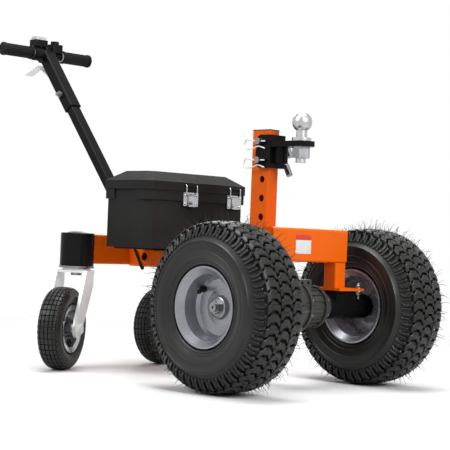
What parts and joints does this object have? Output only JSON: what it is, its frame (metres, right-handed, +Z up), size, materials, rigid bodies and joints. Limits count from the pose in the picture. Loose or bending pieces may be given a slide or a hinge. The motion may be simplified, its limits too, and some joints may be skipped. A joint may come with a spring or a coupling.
{
  "type": "electric trailer dolly",
  "caption": "Walk-behind electric trailer dolly: turf-tyred drive axle under a hitch post with ball, battery box, swivel casters and a telescopic pole handle.",
  "frame": {"origin": "on the floor under the middle of the machine as it stands, casters turned", "axes": "+X forward, from the handle towards the hitch ball; +Y to the machine's left; +Z up"},
  "size_m": [1.2754, 0.6778, 0.8929],
  "materials": {
    "orange_paint": "gloss powder coat",
    "black_paint": "satin powder coat",
    "casting": "as cast, dull",
    "box_plastic": "grained",
    "battery_case": "smooth",
    "stainless": "brushed",
    "chrome": "polished",
    "zinc": "bright zinc plate",
    "silver_paint": "silver grey coat",
    "tyre_rubber": "matt black rubber",
    "grip_rubber": "soft matt",
    "control_plastic": "fine grain",
    "clear_plastic": "milky clear",
    "hook_metal": "bare bright strip"
  },
  "bodies": {
    "chassis": {"front_beam": "orange_paint", "axle_brackets": "orange_paint", "hitch_post": "orange_paint", "frame_spine": "orange_paint", "post_brace": "orange_paint", "rear_beam": "orange_paint", "caster_drums": "black_paint", "drum_caps": "black_paint", "axle_tubes": "black_paint", "drive_motor": "black_paint", "battery_tray": "black_paint", "ball_mount": "black_paint", "handle_foot": "black_paint", "handle_lower_tube": "black_paint", "gearbox": "casting", "battery_box": "box_plastic", "batteries": "battery_case", "latch_plates": "stainless", "hitch_ball": "chrome", "ball_nut": "zinc", "hitch_pins": "zinc", "pin_clips": "zinc", "caster_plates": "zinc", "power_cable": "grip_rubber"},
    "drive_wheel_right": {"drive_tyre_right": "tyre_rubber", "drive_rim_right": "silver_paint", "drive_hub_right": "zinc"},
    "caster_fork_body_right": {"caster_fork_right": "zinc", "caster_axle_right": "zinc"},
    "caster_wheel_right": {"caster_tyre_right": "tyre_rubber", "caster_rim_right": "zinc"},
    "drive_wheel_left": {"drive_tyre_left": "tyre_rubber", "drive_rim_left": "silver_paint", "drive_hub_left": "zinc"},
    "caster_fork_body_left": {"caster_fork_left": "zinc", "caster_axle_left": "zinc"},
    "caster_wheel_left": {"caster_tyre_left": "tyre_rubber", "caster_rim_left": "zinc"},
    "lid": {"battery_lid": "box_plastic", "latch_bails": "stainless"},
    "handle": {"handle_sleeve": "black_paint", "sleeve_lock": "zinc", "handlebar": "black_paint", "grips": "grip_rubber", "bar_collars": "zinc", "throttle": "control_plastic", "control_box": "control_plastic", "control_cover": "clear_plastic", "switch_pod": "control_plastic", "hook_plate": "hook_metal"}
  },
  "joints": [
    {"name": "drive_spin_right", "type": "hinge", "parent": "chassis", "child": "drive_wheel_right", "pos_m": [0.44716, -0.23607, 0.1905], "axis": [0, 1, 0], "continuous": true},
    {"name": "caster_swivel_right", "type": "hinge", "parent": "chassis", "child": "caster_fork_body_right", "pos_m": [-0.15184, -0.17207, 0.247], "axis": [0, 0, 1], "continuous": true},
    {"name": "caster_spin_right", "type": "hinge", "parent": "caster_fork_body_right", "child": "caster_wheel_right", "pos_m": [-0.11403, -0.24029, 0.103], "axis": [0.8746, 0.4848, 0], "continuous": true},
    {"name": "drive_spin_left", "type": "hinge", "parent": "chassis", "child": "drive_wheel_left", "pos_m": [0.44716, 0.26393, 0.1905], "axis": [0, 1, 0], "continuous": true},
    {"name": "caster_swivel_left", "type": "hinge", "parent": "chassis", "child": "caster_fork_body_left", "pos_m": [-0.15184, 0.19993, 0.247], "axis": [0, 0, 1], "continuous": true},
    {"name": "caster_spin_left", "type": "hinge", "parent": "caster_fork_body_left", "child": "caster_wheel_left", "pos_m": [-0.1383, 0.12312, 0.103], "axis": [0.9848, 0.1736, 0], "continuous": true},
    {"name": "lid_hinge", "type": "hinge", "parent": "chassis", "child": "lid", "pos_m": [-0.08784, 0.01393, 0.4555], "axis": [0, -1, 0], "range_deg": [0, 100]},
    {"name": "handle_slide", "type": "slide", "parent": "chassis", "child": "handle", "axis": [0.6361, 0, -0.7716], "range_m": [0, 0.1]}
  ]
}
